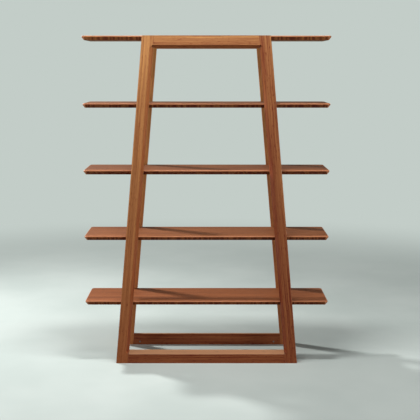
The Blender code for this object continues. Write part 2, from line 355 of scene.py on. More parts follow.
# %% Strips, fibres and nodes
NODE_SPACING = 0.26          # from one ring of the cane to the next
STRIP_WIDTH = 0.0055         # a strip's edge, seen on a board's face
STRIP_DEPTH = 0.019          # and the strip's width, through the board
SWAY = 0.012                 # how far the fibres drift sideways
SWAY_LENGTH = 0.16
SWAY_BREADTH = 0.05
LAYER_SHIFT = 0.41           # how far one layer of strips is set off from the next
BOARD_SHIFTS = (0.37, 0.73)  # and one board from the next, in depth and in width
FIBRE_SHIFT, SWAY_SHIFT = 1.7, 2.3
DRAWN_OUT = {                # length, breadth, detail and shift of the marks along the grain
    "fleck": (0.030, 0.0036, 0.0, 11.3),
    "fibre": (0.09, 0.0011, 3.0, 3.1),
    "streak": (0.40, 0.006, 2.0, 5.3),
    "band": (0.90, 0.045, 1.0, 7.9),
}


def strip_pattern(finish, along, across, deep, width, depth):
    """The tone, seams and nodes of glued strips, and the fibres and flecks in them."""
    board = finish.fact("board")
    deep_shift, row_shift = BOARD_SHIFTS
    layer_place = finish.sum("MULTIPLY_ADD", board, deep_shift, finish.sum("DIVIDE", deep, depth))
    layer = finish.sum("FLOOR", layer_place)
    board_row = finish.sum("MULTIPLY", board, row_shift)
    stagger = finish.sum("MULTIPLY_ADD", layer, LAYER_SHIFT, board_row)
    row_place = finish.sum("ADD", finish.sum("DIVIDE", across, width), stagger)
    row = finish.sum("FLOOR", row_place)
    chance = finish.random(finish.vector(row, layer, board))
    second = finish.node("ShaderNodeSeparateColor", {"Color": chance.outputs["Color"]}).outputs

    def from_half(place):
        """How far a place is from the middle of its unit."""
        return finish.sum("ABSOLUTE", finish.sum("SUBTRACT", finish.sum("FRACT", place), 0.5))

    ring_place = finish.sum("ADD", finish.sum("DIVIDE", along, NODE_SPACING), second["Green"])
    from_ring = from_half(ring_place)

    def drawn_out(sideways, length, breadth, detail, along_shift, side_shift=FIBRE_SHIFT):
        """Noise that is stretched along the grain, and starts anew on each board."""
        start = finish.sum("MULTIPLY", board, along_shift)
        beside = finish.sum("DIVIDE", sideways, breadth)
        place = finish.vector(
            finish.sum("MULTIPLY_ADD", along, 1.0 / length, start),
            finish.sum("MULTIPLY_ADD", board, side_shift, beside),
            finish.sum("DIVIDE", deep, breadth),
        )
        return finish.noise(place, detail)

    wander = drawn_out(across, SWAY_LENGTH, SWAY_BREADTH, 2.0, 0.0, SWAY_SHIFT)
    swayed = finish.sum("MULTIPLY_ADD", wander, SWAY, across)
    part = {key: drawn_out(swayed, *sizes) for key, sizes in DRAWN_OUT.items()}
    part["fleck"] = finish.ramp(part["fleck"], 0.66, 0.84)
    part["strip"] = chance.outputs["Value"]
    part["seam"] = finish.ramp(from_half(row_place), 0.46, 0.5)
    dark_ring = finish.ramp(from_ring, 0.0, 0.03, 1.0, 0.0)
    part["ring"] = finish.sum("MULTIPLY", dark_ring, finish.ramp(second["Blue"], 0.5, 0.95))
    part["ridge"] = finish.ramp(from_ring, 0.0, 0.006, 1.0, 0.0)
    return part


# %% [markdown]
# ## The stain over the strips
#
# A stain sinks in unevenly. Sawn ends and routed chamfers, whose fibres are open, take the
# most. The colour is also multiplied darker and redder towards the foot, which is painted
# shade. The arrises are made paler, partly from hands wearing the stain off and partly as a
# painted highlight, and upward faces near the floor get a pale painted sheen.
#
# All of that could be painted by hand on each board. Here every effect is a colour that is
# mixed in by an amount, and each amount comes from a fact on the mesh or from the pattern of
# strips, so the same functions serve the legs, the rails and the shelves.

# %% Stain the strips
LIGHTER_OR_DARKER = {"strip": 0.24, "fibre": 0.70, "streak": 0.90, "band": 0.42}
ONLY_DARKER = {"ring": -0.20, "seam": -0.16, "fleck": -0.36}
# Painted shade: the stained colour is multiplied by these, from the foot to the top, so lower
# parts come out darker and redder.
FOOT_PAINTED_SHADE = [0.81, 0.56, 0.55, 1.0]       # what is left of each colour near the floor
HEAD_PAINTED_SHADE = [1.0, 1.0, 1.0, 1.0]          # and at the top, where the painted shade leaves the colour as it is
CHAMFER_STAIN = [0.92, 0.70, 0.60, 1.0]    # and what a routed chamfer leaves of it


def stained(finish, part, facing, light, dark, routed):
    """The colour of the strips under their stain, with painted shade that darkens and reddens it
    towards the foot.
    """
    value = finish.sum("SUBTRACT", finish.fact("tone"), 0.5 * sum(LIGHTER_OR_DARKER.values()))
    for key, share in {**LIGHTER_OR_DARKER, **ONLY_DARKER}.items():
        value = finish.sum("MULTIPLY_ADD", part[key], share, value)
    colour = finish.tint(value, srgb(dark), srgb(light))
    # Painted shade: darker and redder towards the foot.
    height_shading = finish.tint(finish.fact("height"), FOOT_PAINTED_SHADE, HEAD_PAINTED_SHADE)
    colour = finish.tint(1.0, colour, height_shading, "MULTIPLY")
    slanted = finish.ramp(finish.sum("MULTIPLY", facing[1], facing[2]), 0.2, 0.45, 0.0, routed)
    off_arris = finish.sum("SUBTRACT", 1.0, finish.fact("arris"))
    return finish.tint(
        finish.sum("MULTIPLY", slanted, off_arris), colour, CHAMFER_STAIN, "MULTIPLY"
    )


# %% Add ends, painted sheen, wearing and a painted highlight
# PAINTED_SHEEN is a pale colour laid on upward faces near the floor in place of light glancing off
# them. The arris colour is partly wearing of the stain and partly a painted highlight.
PAINTED_SHEEN, END_STAIN, WEAR_AND_HIGHLIGHT = srgb("d0a87c"), srgb("4c0e06"), srgb("c4805a")
SHEEN_FULL_TO, SHEEN_GONE_FROM = 0.05, 0.15          # shares of the whole height


def weathered_and_lit(finish, part, colour, end, wear_and_highlight, painted_sheen):
    """The stained colour with its dark ends, a pale painted sheen on upward faces low down, and a
    paler arris that is partly wearing and partly a painted highlight.
    """
    # Painted sheen: upward faces near the floor are mixed towards a pale colour.
    low_down = finish.ramp(finish.fact("height"), SHEEN_FULL_TO, SHEEN_GONE_FROM, painted_sheen, 0.0)
    sheen_amount = finish.sum("MULTIPLY", low_down, finish.ramp(finish.fact("upward"), 0.6, 1.0))
    colour = finish.tint(sheen_amount, colour, PAINTED_SHEEN)
    soaked = finish.ramp(part["strip"], 0.15, 0.85, 0.80, 0.26)
    colour = finish.tint(finish.sum("MULTIPLY", end, soaked), colour, END_STAIN)
    # Paler arrises: partly wearing of the stain, partly a painted highlight.
    wear_and_highlight_share = finish.ramp(part["streak"], 0.3, 0.7, 0.7 * wear_and_highlight, wear_and_highlight)
    arris_wear_and_highlight = finish.sum("MULTIPLY", finish.fact("arris"), wear_and_highlight_share)
    return finish.tint(arris_wear_and_highlight, colour, WEAR_AND_HIGHLIGHT)


# %% Lacquer them
FIBRE_SATIN = 0.07           # fibres vary the roughness by this much either way
ARRIS_POLISH = 0.30          # hands polish the arrises
END_DULLNESS = 0.18          # and sawn ends stay dull
GRAIN_DEPTH = 0.00025


def lacquered(finish, part, colour, end, satin, gloss):
    """The colour under a satin lacquer, which is thin enough to show the grain's relief."""
    rough = finish.ramp(
        part["fibre"], 0.25, 0.75, satin + FIBRE_SATIN, satin - FIBRE_SATIN, smooth=False
    )
    rough = finish.sum("MULTIPLY_ADD", finish.fact("arris"), -ARRIS_POLISH, rough)
    rough = finish.sum("MULTIPLY_ADD", end, END_DULLNESS, rough)
    finish.shader.inputs["Specular IOR Level"].default_value = gloss
    relief = finish.sum("MULTIPLY", part["strip"], 0.25)
    for key, share in {"fibre": 0.5, "seam": -0.5, "ridge": 0.4}.items():
        relief = finish.sum("MULTIPLY_ADD", part[key], share, relief)
    return finish.surface(colour, rough, relief, 0.5, GRAIN_DEPTH)


# %% Mix the two kinds of bamboo board
FACE_PLY = 0.006             # the upper ply of a shelf, along its length
BACK_PLY = 0.0015            # and the thin lower one
CORE_STRIP_WIDTH = 0.009     # strips of the core between them stand on edge
CORE_STRIP_DEPTH = 0.200     # and one layer of them fills the core


def bamboo(name, light, dark, satin, gloss, wear_and_highlight, routed=0.0, painted_sheen=0.0, crossed_core=None):
    """Bamboo, stained and lacquered; a crossed core lies between two depths in the board."""
    finish = Finish(name)
    _place, (x, y, z) = finish.place()
    looks = {"Vector": finish.fact("facing", "Vector")}
    facing = finish.node("ShaderNodeSeparateXYZ", looks).outputs
    along, across, end_grain = x, y, facing[0]
    width, depth = STRIP_WIDTH, STRIP_DEPTH
    if crossed_core:
        upper, lower = crossed_core
        core = finish.sum(
            "MULTIPLY", finish.sum("LESS_THAN", z, -upper), finish.sum("GREATER_THAN", z, -lower)
        )
        along = finish.blend(core, x, y)
        across = finish.blend(core, y, x)
        end_grain = finish.blend(core, facing[0], facing[1])
        width = finish.blend(core, STRIP_WIDTH, CORE_STRIP_WIDTH)
        depth = finish.blend(core, STRIP_DEPTH, CORE_STRIP_DEPTH)

    part = strip_pattern(finish, along, across, z, width, depth)
    end = finish.ramp(end_grain, 0.45, 0.8)
    colour = stained(finish, part, facing, light, dark, routed)
    colour = weathered_and_lit(finish, part, colour, end, wear_and_highlight, painted_sheen)
    return lacquered(finish, part, colour, end, satin, gloss)


# painted_sheen sets the pale painted sheen on the frame's low upward faces.
frame_bamboo = bamboo(
    "stained_frame_bamboo", "d2985a", "660900",
    satin=0.55, gloss=0.22, wear_and_highlight=0.12, routed=1.0, painted_sheen=0.50,
)
# On the shelves the paler arris is mostly a painted highlight along the front edge.
shelf_bamboo = bamboo(
    "stained_shelf_ply", "bf8149", "4a1506", satin=0.70, gloss=0.18, wear_and_highlight=0.90,
    crossed_core=(FACE_PLY, SHELF_THICKNESS - BACK_PLY),
)
print("mixed", frame_bamboo.name, "and", shelf_bamboo.name)

# %% [markdown]
# ## Zinc-plated steel and raw beech
#
# The bolts and barrel nuts are turned steel with a thin zinc plating. Turning leaves fine
# rings round the axis and plating leaves soft cloudy spangles, so the roughness follows both.
# The dowels are beech: pale, with short darker flecks along the grain, and never stained.

# %% Mix the zinc plating
TURNING_FEED = 0.00035       # from one ring of the lathe tool to the next
SPANGLES_PER_METRE = 450.0


def zinc_plating():
    """Turned, plated steel, with its axis along the object's Z."""
    finish = Finish("zinc_plated_steel")
    place, (x, y, z) = finish.place()
    squares = finish.sum("ADD", finish.sum("POWER", x, 2.0), finish.sum("POWER", y, 2.0))
    radius = finish.sum("SQRT", squares)
    rings = finish.noise(
        finish.vector(
            finish.sum("DIVIDE", radius, TURNING_FEED), finish.sum("DIVIDE", z, TURNING_FEED), 0.0
        )
    )
    clouds = finish.noise(place, 3.0, SPANGLES_PER_METRE)
    colour = finish.tint(finish.ramp(clouds, 0.3, 0.7), srgb("6d6e70"), srgb("93948f"))
    rough = finish.sum("MULTIPLY_ADD", rings, 0.16, finish.ramp(clouds, 0.3, 0.7, 0.44, 0.32))
    finish.shader.inputs["Metallic"].default_value = 1.0
    return finish.surface(colour, rough, rings, 0.35, 0.00005)


zinc = zinc_plating()


# %% Mix the beech
def raw_beech():
    """Pale beech with its grain along the object's Z."""
    finish = Finish("raw_beech")
    _place, (x, y, z) = finish.place()

    def along_grain(length, breadth, detail):
        """Noise that is drawn out along the pin."""
        sizes = ((x, breadth), (y, breadth), (z, length))
        parts = [finish.sum("DIVIDE", place, size) for place, size in sizes]
        return finish.noise(finish.vector(*parts), detail)

    rings = along_grain(0.05, 0.0030, 1.0)
    flecks = finish.ramp(along_grain(0.0022, 0.0003, 1.0), 0.58, 0.68)
    colour = finish.tint(finish.ramp(rings, 0.3, 0.7), srgb("c9a277"), srgb("dcbd93"))
    colour = finish.tint(finish.sum("MULTIPLY", flecks, 0.5), colour, srgb("9a6f48"))
    rough = finish.ramp(rings, 0.3, 0.7, 0.72, 0.60)
    return finish.surface(colour, rough, rings, 0.4, 0.0001)


beech = raw_beech()
print("mixed", zinc.name, "and", beech.name)

# %% [markdown]
# ## Turning the hardware
#
# Bolts, barrel nuts and dowels come off a lathe, and Blender's lathe is Spin: a half profile
# is drawn beside the Z axis and swept round it. The drill bits for their holes are the same
# shapes, a little larger, so one tool makes both. Each place is read from the solid's box.

# %% The lathe
LATHE_STEPS = 48
BIT_STEPS = 24               # sides of a hole, which is hidden inside a joint


def turn(name, profile, steps=LATHE_STEPS):
    """Sweep a half profile of (radius, height) points round the Z axis."""
    bm = bmesh.new()
    verts = [bm.verts.new((radius, 0.0, height)) for radius, height in profile]
    edges = [bm.edges.new(pair) for pair in zip(verts, verts[1:])]
    bmesh.ops.spin(
        bm, geom=verts + edges, angle=2.0 * pi, steps=steps,
        axis=(0, 0, 1), cent=(0, 0, 0), use_merge=True,
    )
    bmesh.ops.remove_doubles(bm, verts=bm.verts[:], dist=1e-6)
    return mesh_from(bm, name)


def rod(radius, low, high, chamfer=0.0):
    """The half profile of a rod, with chamfered ends if wanted."""
    if not chamfer:
        return [(0.0, high), (radius, high), (radius, low), (0.0, low)]
    slim = radius - chamfer
    upper = [(0.0, high), (slim, high), (radius, high - chamfer)]
    return upper + [(radius, low + chamfer), (slim, low), (0.0, low)]


def aim(direction, place):
    """A placement that turns +Z to a direction."""
    turned = Vector((0.0, 0.0, 1.0)).rotation_difference(Vector(direction))
    return Matrix.Translation(Vector(place)) @ turned.to_matrix().to_4x4()


def drill_bits(name, profile, placements):
    """One cutter with a drill bit at every placement."""
    bit = turn(name + "_bit", profile, BIT_STEPS)
    bm = bmesh.new()
    for placement in placements:
        count = len(bm.verts)
        bm.from_mesh(bit)
        bm.verts.ensure_lookup_table()
        bmesh.ops.transform(bm, matrix=placement, verts=bm.verts[count:])
    bpy.data.meshes.remove(bit)
    return lay_on_bench(name, mesh_from(bm, name))


# %% Find the joints
def middle(box):
    """The centre of a box."""
    return (box[0] + box[1]) / 2.0


joints = [
    (f"{frame_name}_{rail_name}_{side_name}", side, frame_side)
    for frame_name, frame_side in FRAMES.items()
    for rail_name in ("top", "bottom")
    for side_name, side in SIDES.items()
]

bolt_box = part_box("front_top_right_bolt")
BOLT_LENGTH = bolt_box[1].x - bolt_box[0].x
BOLT_HEAD_RADIUS = (bolt_box[1].z - bolt_box[0].z) / 2.0
BOLT_HEAD_HEIGHT = 0.003
BOLT_RADIUS = 0.003
nut_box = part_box("front_top_right_barrel_nut")
NUT_LENGTH = nut_box[1].y - nut_box[0].y
NUT_RADIUS = (nut_box[1].x - nut_box[0].x) / 2.0
print(f"{len(joints)} joints, bolts {BOLT_LENGTH:.4f} long, nuts {2 * NUT_RADIUS:.4f} thick")

bolt_placements = [
    aim((side, 0.0, 0.0), middle(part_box(joint + "_bolt"))) for joint, side, _frame_side in joints
]
nut_placements = [  # the slots look towards the shelves
    aim((0.0, -frame_side, 0.0), middle(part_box(joint + "_barrel_nut")))
    for joint, _side, frame_side in joints
]

# %% [markdown]
# ## Bolts and barrel nuts
#
# A furniture bolt has a low round head with a hexagon socket, sunk in the leg's outer side,
# and a thread that meets a barrel nut inside the rail. The nut is a short rod with a slot in
# its end, which lets a screwdriver turn its cross hole towards the bolt. Its end shows as a
# small grey disc near each rail end, on the faces that look at the shelves.
# The thread could be a true helix, but nobody can see it there, so rings are enough.

# %% Make the bolts
THREAD_LENGTH = 0.028
THREAD_PITCH = 0.001
THREAD_DEPTH = 0.0003
TIP_TAPER = 0.0006
HEAD_ROUND = 0.0012          # radius of the head's upper edge
HEAD_STEPS = 6
HEAD_BREAK = 0.0003          # chamfer of its lower edge
SOCKET_ACROSS = 0.004        # across the flats
SOCKET_DEPTH = 0.0022


def bolt_profile():
    """The half profile of the bolt, centred on its length."""
    top = BOLT_LENGTH / 2.0
    seat = top - BOLT_HEAD_HEIGHT
    tip = -BOLT_LENGTH / 2.0
    points = [(0.0, top)]
    for step in range(HEAD_STEPS + 1):
        angle = pi / 2.0 * step / HEAD_STEPS
        out, up = HEAD_ROUND * sin(angle), HEAD_ROUND * cos(angle)
        points.append((BOLT_HEAD_RADIUS - HEAD_ROUND + out, top - HEAD_ROUND + up))
    points += [(BOLT_HEAD_RADIUS, seat + HEAD_BREAK), (BOLT_HEAD_RADIUS - HEAD_BREAK, seat)]
    points.append((BOLT_RADIUS, seat))
    for number in range(int(THREAD_LENGTH / THREAD_PITCH)):
        crest = tip + THREAD_LENGTH - number * THREAD_PITCH
        points += [(BOLT_RADIUS, crest), (BOLT_RADIUS - THREAD_DEPTH, crest - THREAD_PITCH / 2.0)]
    return points + [(BOLT_RADIUS - TIP_TAPER, tip), (0.0, tip)]


def socket_cutter():
    """The hexagon key's socket, in the head."""
    bm = bmesh.new()
    to_corner = SOCKET_ACROSS / 2.0 / cos(pi / 6.0)
    bmesh.ops.create_cone(
        bm, cap_ends=True, segments=6, radius1=to_corner, radius2=to_corner,
        depth=2.0 * SOCKET_DEPTH,
    )
    placement = Matrix.Translation((0.0, 0.0, BOLT_LENGTH / 2.0))
    return lay_on_bench("hexagon_key", mesh_from(bm, "hexagon_key"), placement)


helpers = []


def put_at_joints(model_name, profile, cutters, piece, node, placements):
    """Turn and cut one model, and put a copy of it at every joint."""
    model = lay_on_bench(model_name, turn(model_name, profile))
    for cutter in cutters:
        cut(model, cutter)
    settle(model)
    polish(model)
    helpers.extend([model, *cutters])
    for (joint, _side, _frame_side), placement in zip(joints, placements):
        copy = lay_on_bench(f"{joint}_{piece}", model.data.copy(), placement)
        fit(copy, f"{joint}_{node}", zinc)
    print(len(joints), piece, "copies with", len(model.data.vertices), "vertices each")


put_at_joints(
    "model_bolt", bolt_profile(), [socket_cutter()], "socket_bolt", "bolt", bolt_placements
)

# %% Make the barrel nuts
SLOT_WIDTH = 0.0012
SLOT_DEPTH = 0.0014
NUT_CHAMFER = 0.0006


def nut_cutters():
    """The slot across the end and the cross hole for the bolt."""
    bm = bmesh.new()
    size = (3.0 * NUT_RADIUS, SLOT_WIDTH, 2.0 * SLOT_DEPTH)
    add_block(bm, (0.0, 0.0, NUT_LENGTH / 2.0), size)
    slot_blade = lay_on_bench("slot_blade", mesh_from(bm, "slot_blade"))
    reach = 2.0 * NUT_RADIUS
    hole = turn("cross_bit", rod(BOLT_RADIUS + GAP, -reach, reach), BIT_STEPS)
    return [slot_blade, lay_on_bench("cross_bit", hole, aim((1.0, 0.0, 0.0), (0.0, 0.0, 0.0)))]


half_nut = NUT_LENGTH / 2.0
nut_profile = rod(NUT_RADIUS, -half_nut, half_nut, NUT_CHAMFER)
put_at_joints(
    "model_nut", nut_profile, nut_cutters(), "slotted_nut", "barrel_nut", nut_placements
)

# %% [markdown]
# ## Dowels
#
# The dowels sit out of sight between legs and rails, and between shelves and legs. A dowel
# pin is fluted so that air and spare glue can leave the hole, and its ends are chamfered so
# that it starts easily. A round profile on the lathe would miss the flutes, so rings of
# points with a rippled radius are joined up instead.

# %% Make the dowels
FLUTES = 16
FLUTE_DEPTH = 0.0003
DOWEL_CHAMFER = 0.001


def fluted_pin(name, radius, length):
    """A dowel pin along Z, centred on its origin."""
    half = length / 2.0
    slim, shoulder = radius - DOWEL_CHAMFER, half - DOWEL_CHAMFER
    stations = [(-half, slim), (-shoulder, radius), (shoulder, radius), (half, slim)]
    count = 4 * FLUTES  # four points for each flute
    bm = bmesh.new()
    rings = []
    for z, outer in stations:
        ring = []
        for step in range(count):
            angle = 2.0 * pi * step / count
            reach = outer - FLUTE_DEPTH * (0.5 - 0.5 * cos(FLUTES * angle))
            ring.append(bm.verts.new((reach * cos(angle), reach * sin(angle), z)))
        rings.append(ring)
    for lower, upper in zip(rings, rings[1:]):
        for step in range(count):
            after = (step + 1) % count
            bm.faces.new((lower[step], lower[after], upper[after], upper[step]))
    bm.faces.new(rings[0])
    bm.faces.new(rings[-1])
    return mesh_from(bm, name)


def add_pins(nodes, axis):
    """Stand fluted pins in for dowels that lie along X (0) or Y (1), and make their bits."""
    direction = [0.0, 0.0, 0.0]
    direction[axis] = 1.0
    placements = [aim(direction, middle(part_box(node))) for node in nodes]
    low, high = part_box(nodes[0])
    half = (high[axis] - low[axis]) / 2.0
    radius = (high.z - low.z) / 2.0
    mesh = fluted_pin(nodes[0] + "_pin", radius, 2.0 * half)
    for node, placement in zip(nodes, placements):
        pin = lay_on_bench(f"{node}_pin", mesh.copy(), placement)
        polish(pin)
        fit(pin, node, beech)
    print(f"{len(nodes)} pins, {2000 * radius:.0f} by {2000 * half:.0f} mm")
    return drill_bits(nodes[0] + "_bits", rod(radius + GAP, -half - GAP, half + GAP), placements)


frame_dowels = [joint[0] + "_dowel" for joint in joints]
shelf_dowels = [
    f"shelf_{number}_{frame_name}_{side_name}_dowel"
    for number in range(1, SHELF_COUNT + 1)
    for frame_name in FRAMES
    for side_name in SIDES
]
frame_dowel_bits = add_pins(frame_dowels, 0)
shelf_dowel_bits = add_pins(shelf_dowels, 1)

# %% Drill bits for the bolts and nuts
BOLT_SINK = outer_x(middle(bolt_box).z) - bolt_box[1].x
NUT_HOLE_RUN = 0.010         # how far the nut's bit reaches out of its hole

bolt_half = BOLT_LENGTH / 2.0
head_bit, shank_bit = BOLT_HEAD_RADIUS + GAP, BOLT_RADIUS + GAP
seat_bit = bolt_half - BOLT_HEAD_HEIGHT - GAP
bolt_bit_profile = [
    (0.0, bolt_half + 2.0 * BOLT_SINK),
    (head_bit, bolt_half + 2.0 * BOLT_SINK),
    (head_bit, seat_bit),
    (shank_bit, seat_bit),
    (shank_bit, -bolt_half - GAP),
    (0.0, -bolt_half - GAP),
]
bolt_bits = drill_bits("bolt_bits", bolt_bit_profile, bolt_placements)
nut_bit_profile = rod(NUT_RADIUS + GAP, -half_nut - GAP, half_nut + NUT_HOLE_RUN)
nut_bits = drill_bits("nut_bits", nut_bit_profile, nut_placements)
helpers += [bolt_bits, nut_bits, frame_dowel_bits, shelf_dowel_bits]
print("bolt heads are sunk", round(BOLT_SINK, 4), "m")

# %% [markdown]
# ## The stopped chamfer
#
# Each frame has a wide chamfer round its opening, on the outward side only. A router makes
# it after the frame is glued up, so it runs across the joints and turns each corner in a
# small arc. The same way works here: the opening's outline is drawn twice, once wide in
# front of the frame and once narrow inside it, and the loft between them is the cutter that
# legs and rails share. A Bevel on each board alone could not turn the corner.

# %% The router bit for each frame
CHAMFER_RISE = 0.015         # the chamfer, seen from the front
CHAMFER_DEPTH = 0.030        # the same chamfer, front to back
CHAMFER_FILLET = 0.004       # radius of its inner edge at a corner
ARC_STEPS = 12
PAST_FACE = 0.002            # the bit starts this far in front of the frame


def opening_outline(offset):
    """The frame's opening as (x, z) points, grown by an offset, with round corners."""
    radius = CHAMFER_FILLET + offset
    low = STOCK_WIDTH + CHAMFER_FILLET
    high = HEIGHT - low
    corners = [
        (1.0, low, -0.5 * pi, SPLAY),
        (1.0, high, SPLAY, 0.5 * pi),
        (-1.0, high, 0.5 * pi, pi - SPLAY),
        (-1.0, low, pi - SPLAY, 1.5 * pi),
    ]
    points = []
    for side, z, start, end in corners:
        centre = side * (inner_x(z) - CHAMFER_FILLET / cos(SPLAY))
        for step in range(ARC_STEPS + 1):
            angle = start + (end - start) * step / ARC_STEPS
            points.append((centre + radius * cos(angle), z + radius * sin(angle)))
    return points


def router_bit(name, frame_side):
    """A loft from the wide outline in front of the frame to the opening itself."""
    slope = CHAMFER_RISE / CHAMFER_DEPTH
    stations = [
        (frame_side * (OUTER_FACE + PAST_FACE), CHAMFER_RISE + slope * PAST_FACE),
        (frame_side * (OUTER_FACE - CHAMFER_DEPTH), 0.0),
    ]
    bm = bmesh.new()
    wide, narrow = [
        [bm.verts.new((x, y, z)) for x, z in opening_outline(offset)] for y, offset in stations
    ]
    for i in range(len(wide)):
        j = (i + 1) % len(wide)
        bm.faces.new((wide[i], wide[j], narrow[j], narrow[i]))
    bm.faces.new(wide)
    bm.faces.new(narrow)
    return lay_on_bench(name, mesh_from(bm, name))


router_bits = {side: router_bit(f"{name}_router_bit", side) for name, side in FRAMES.items()}
helpers += router_bits.values()
print("chamfer outline has", len(opening_outline(0.0)), "points")

# %% [markdown]
# ## Legs
#
# A leg is one straight board, sawn level at the floor and at the top, so on the bench its
# outline is a parallelogram with slightly slanting ends. Its two outer long edges and the
# upper outer edge get a generous rounding, which is where the light runs down the frame.
# The rounding is done on chosen edges before the chamfer is cut, and the finer easing of all
# other edges comes after it.

# %% Make the legs
LEG_ARRIS = 0.004            # rounding of the outer long edges
SOFT_ARRIS = 0.0012          # rounding of every other edge
MIDDLE_FACE = INNER_FACE + STOCK_DEPTH / 2.0  # the middle of a frame's thickness


def sawn_board(name, outline, thickness):
    """A flat (along, across) outline with a thickness, centred on the bench plane."""
    bm = bmesh.new()
    sheet = bm.faces.new([bm.verts.new((x, y, -thickness / 2.0)) for x, y in outline])
    grown = bmesh.ops.extrude_face_region(bm, geom=[sheet])
    raised = [item for item in grown["geom"] if isinstance(item, bmesh.types.BMVert)]
    bmesh.ops.translate(bm, vec=(0.0, 0.0, thickness), verts=raised)
    return mesh_from(bm, name)


def round_outer_side(mesh, across, foot=0.01):
    """Round the edges of the side at +Y, apart from the one within a centimetre of the foot."""
    bm = bmesh.new()
    bm.from_mesh(mesh)
    chosen = []
    for edge in bm.edges:
        on_side = all(abs(vert.co.y - across) < 1e-5 for vert in edge.verts)
        at_foot = all(vert.co.x < foot for vert in edge.verts)
        if on_side and not at_foot:
            chosen.append(edge)
    bmesh.ops.bevel(bm, geom=chosen, offset=LEG_ARRIS, segments=6, profile=0.5, affect="EDGES")
    bm.to_mesh(mesh)
    bm.free()


def machined(item, frame_side, drills, board, tone):
    """Rout, ease, drill and polish a board of a frame, and write its facts."""
    cut(item, router_bits[frame_side])
    ease(item, SOFT_ARRIS)
    for bits in drills:
        cut(item, bits)
    settle(item)
    polish(item)
    write_facts(item, board, tone)
    return item


def make_leg(name, side, frame_side, board, tone):
    """A splayed leg of one frame."""
    half = STOCK_WIDTH / 2.0
    skew = half * tan(SPLAY)
    length = HEIGHT / cos(SPLAY)
    outline = [(-skew, half), (length - skew, half), (length + skew, -half), (skew, -half)]
    mesh = sawn_board(name, outline, STOCK_DEPTH)
    round_outer_side(mesh, half)
    up_the_leg = Vector((-side * sin(SPLAY), 0.0, cos(SPLAY)))
    outwards = Vector((side * cos(SPLAY), 0.0, sin(SPLAY)))
    foot = Vector((side * (outer_x(0.0) - LEG_RUN / 2.0), frame_side * MIDDLE_FACE, 0.0))
    leg = lay_on_bench(name, mesh, frame_axes(up_the_leg, outwards, foot))
    return machined(leg, frame_side, (bolt_bits, frame_dowel_bits, shelf_dowel_bits), board, tone)


# The tones differ from board to board. The rear legs' much lighter tones are partly painted light,
# making up for the light that the front frame and shelves keep off them.
LEG_TONES = {"front_left": 0.63, "front_right": 0.37, "rear_left": 0.95, "rear_right": 0.66}
for number, (leg_name, tone) in enumerate(LEG_TONES.items(), start=1):
    frame_name, side_name = leg_name.split("_")
    leg = make_leg(f"{leg_name}_board", SIDES[side_name], FRAMES[frame_name], number, tone)
    fit(leg, f"{leg_name}_leg", frame_bamboo)
    print(leg.name, len(leg.data.vertices), "vertices")

# %% [markdown]
# ## Rails
#
# A rail is butted between two legs, with its ends sawn to their slope, so the joint shows as
# a fine slanting line. The top rail is level with the tops of the legs and the bottom rail
# rests on the floor. Only the outline is new; the tools are those of the legs.

# %% Make the rails
def make_rail(name, low, frame_side, board, tone):
    """A level rail of one frame."""
    half = STOCK_WIDTH / 2.0
    reach = inner_x(low + half) - GAP
    skew = half * tan(SPLAY)
    long, short = reach + skew, reach - skew
    outline = [(-long, -half), (long, -half), (short, half), (-short, half)]
    centre = Vector((0.0, frame_side * MIDDLE_FACE, low + half))
    placement = frame_axes(Vector((1.0, 0.0, 0.0)), Vector((0.0, 0.0, 1.0)), centre)
    rail = lay_on_bench(name, sawn_board(name, outline, STOCK_DEPTH), placement)
    return machined(rail, frame_side, (bolt_bits, nut_bits, frame_dowel_bits), board, tone)


RAIL_LOWS = {"top": HEIGHT - STOCK_WIDTH, "bottom": 0.0}
RAIL_TONES = {"front_top": 0.47, "front_bottom": 0.35, "rear_top": 0.50, "rear_bottom": 0.35}
for number, (rail_name, tone) in enumerate(RAIL_TONES.items(), start=len(LEG_TONES) + 1):
    frame_name, level = rail_name.split("_")
    rail = make_rail(f"{rail_name}_board", RAIL_LOWS[level], FRAMES[frame_name], number, tone)
    fit(rail, f"{rail_name}_rail", frame_bamboo)
    print(rail.name, len(rail.data.vertices), "vertices")

# %% [markdown]
# ## Shelves
#
# A shelf is three-ply bamboo board. The face plies run lengthwise and the core runs across,
# so its sawn ends show along the front edge as a row of dark dashes.
# The edge has three parts: a round arris at the top that catches the light, a short upright
# lip, and a long bevel underneath that makes the board look thin. Where the shelf meets a
# leg the bevel stops, and a square landing keeps the full thickness for the joint.
#
# The board starts as a box. Its upright corners are beveled round, insetting the underside
# while lowering it makes the long bevel, and the landings are joined on with a Boolean.

# %% Make the shelves
SHELF_CORNER = 0.018         # corner radius in plan
SHELF_LIP = 0.008            # upright part of the edge, with the arris
SHELF_ARRIS = 0.005          # radius of the top arris
UNDERCUT_RUN = 0.013         # the long bevel, measured inwards
LANDING_WIDTH = 0.054        # length of edge that stays square at a leg
LANDING_SKIN = 0.0002        # how far a landing's block stays inside the shelf's box
LANDING_LAP = 0.002          # how far it reaches up into the lip
LANDING_ROOT = 0.006         # and inwards, past the bevel
SHELF_EASE = 0.0008          # rounding of a shelf's other edges


